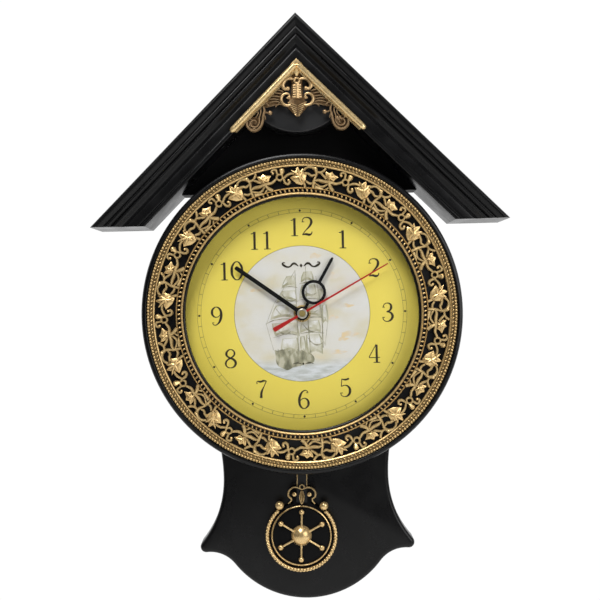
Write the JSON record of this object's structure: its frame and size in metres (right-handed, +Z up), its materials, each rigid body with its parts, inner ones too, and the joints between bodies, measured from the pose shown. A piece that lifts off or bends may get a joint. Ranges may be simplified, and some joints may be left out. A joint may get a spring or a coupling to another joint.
{
  "type": "pendulum wall clock",
  "caption": "Wall clock with a gabled roof, a round dial in a gilded vine ring and a small pendulum swinging over a flared lower board.",
  "frame": {"origin": "the point on the wall plane where the wall nail carries the hanger's keyhole slot, on the clock's centre line", "axes": "+Z up, +X to the right as seen from the front, -Y out of the wall towards the viewer; the wall is the plane y = 0"},
  "size_m": [0.355, 0.06, 0.505],
  "materials": {
    "black_plastic": "satin injection-moulded black",
    "gilt": "vacuum-gilded moulding, satin gold",
    "glass": "clear flat clock glass",
    "dial_card": "satin printed card, yellow with a pale centre",
    "black_lacquer": "satin black lacquer",
    "red_lacquer": "satin red lacquer",
    "brass": "turned brass",
    "steel": "zinc-plated steel",
    "black_case": "fine spark-textured black",
    "white_nylon": "moulded natural nylon",
    "copper_wire": "enamelled copper winding",
    "green_board": "solder-masked board",
    "rubber": "moulded rubber",
    "ferrite": "sintered magnet",
    "battery_skin": "plain sleeved cell"
  },
  "bodies": {
    "case": {"roof_cornice": "black_plastic", "gable_board": "black_plastic", "gable_plaque": "black_plastic", "gable_ornament": "gilt", "round_case": "black_plastic", "lower_board": "black_plastic", "bezel": "black_plastic", "filigree_ring": "gilt", "glass_lens": "glass", "dial_spacer": "black_plastic", "dial": "dial_card", "hand_nut": "brass", "rubber_washer": "rubber", "movement_front_shell": "black_case", "movement_rear_shell": "black_case", "circuit_board": "green_board", "quartz_crystal": "steel", "motor_coil": "copper_wire", "stator": "steel", "battery_contact_plus": "steel", "battery_contact_minus": "steel", "drive_coil": "copper_wire", "pendulum_pin": "steel", "hanger_plate": "steel", "hanger_screw_1": "steel", "hanger_screw_2": "steel", "gable_screw_1": "steel", "gable_screw_2": "steel", "board_screw_1": "steel", "board_screw_2": "steel", "roof_screw_1": "steel", "roof_screw_2": "steel", "bezel_screw_1": "steel", "bezel_screw_2": "steel", "bezel_screw_3": "steel", "bezel_screw_4": "steel"},
    "second_train": {"second_wheel": "white_nylon", "second_hand": "red_lacquer", "second_hand_cap": "steel"},
    "rotor": {"rotor": "ferrite"},
    "intermediate": {"intermediate_wheel": "white_nylon"},
    "third": {"third_wheel": "white_nylon"},
    "centre": {"centre_wheel": "brass"},
    "minute": {"cannon_pinion": "brass", "minute_hand": "black_lacquer"},
    "motion": {"motion_wheel": "white_nylon"},
    "hour": {"hour_wheel": "white_nylon", "hour_hand": "black_lacquer"},
    "knob": {"setting_knob": "black_case"},
    "pendulum": {"pendulum_arm": "white_nylon", "pendulum_magnet": "steel", "pendulum_rod": "black_plastic", "bob_disc": "black_plastic", "bob_rope_ring": "gilt", "bob_inner_ring": "gilt", "bob_rosette": "gilt", "bob_crest": "gilt"},
    "battery": {"battery": "battery_skin"}
  },
  "joints": [
    {"name": "second_hand_turn", "type": "hinge", "parent": "case", "child": "second_train", "pos_m": [0, -0.03, -0.104], "axis": [0, 1, 0], "continuous": true},
    {"name": "rotor_turn", "type": "hinge", "parent": "case", "child": "rotor", "pos_m": [-0.01297, -0.022, -0.10756], "axis": [0, 1, 0], "continuous": true},
    {"name": "intermediate_turn", "type": "hinge", "parent": "case", "child": "intermediate", "pos_m": [-0.00677, -0.024, -0.10646], "axis": [0, 1, 0], "continuous": true},
    {"name": "third_turn", "type": "hinge", "parent": "case", "child": "third", "pos_m": [0.00918, -0.027, -0.104], "axis": [0, 1, 0], "continuous": true},
    {"name": "centre_turn", "type": "hinge", "parent": "case", "child": "centre", "pos_m": [0, -0.0284, -0.104], "axis": [0, 1, 0], "continuous": true},
    {"name": "minute_hand_turn", "type": "hinge", "parent": "case", "child": "minute", "pos_m": [0, -0.035, -0.104], "axis": [0, 1, 0], "continuous": true},
    {"name": "motion_turn", "type": "hinge", "parent": "case", "child": "motion", "pos_m": [0, -0.0305, -0.112], "axis": [0, 1, 0], "continuous": true},
    {"name": "hour_hand_turn", "type": "hinge", "parent": "case", "child": "hour", "pos_m": [0, -0.035, -0.104], "axis": [0, 1, 0], "continuous": true},
    {"name": "setting_knob_turn", "type": "hinge", "parent": "case", "child": "knob", "pos_m": [0.004, -0.02, -0.11893], "axis": [0, 1, 0], "continuous": true},
    {"name": "pendulum_swing", "type": "hinge", "parent": "case", "child": "pendulum", "pos_m": [0, -0.0262, -0.135], "axis": [0, 1, 0], "range_deg": [-7.8, 4.2]},
    {"name": "battery_slide", "type": "slide", "parent": "case", "child": "battery", "axis": [0, 1, 0], "range_m": [0, 0.035]}
  ],
  "couplings": [
    {"joint": "rotor_turn", "follows": "second_hand_turn", "ratio": 30},
    {"joint": "intermediate_turn", "follows": "second_hand_turn", "ratio": -5},
    {"joint": "third_turn", "follows": "second_hand_turn", "ratio": -0.13333},
    {"joint": "centre_turn", "follows": "second_hand_turn", "ratio": 0.016667},
    {"joint": "motion_turn", "follows": "minute_hand_turn", "ratio": -0.33333},
    {"joint": "hour_hand_turn", "follows": "minute_hand_turn", "ratio": 0.083333},
    {"joint": "setting_knob_turn", "follows": "minute_hand_turn", "ratio": 1}
  ]
}
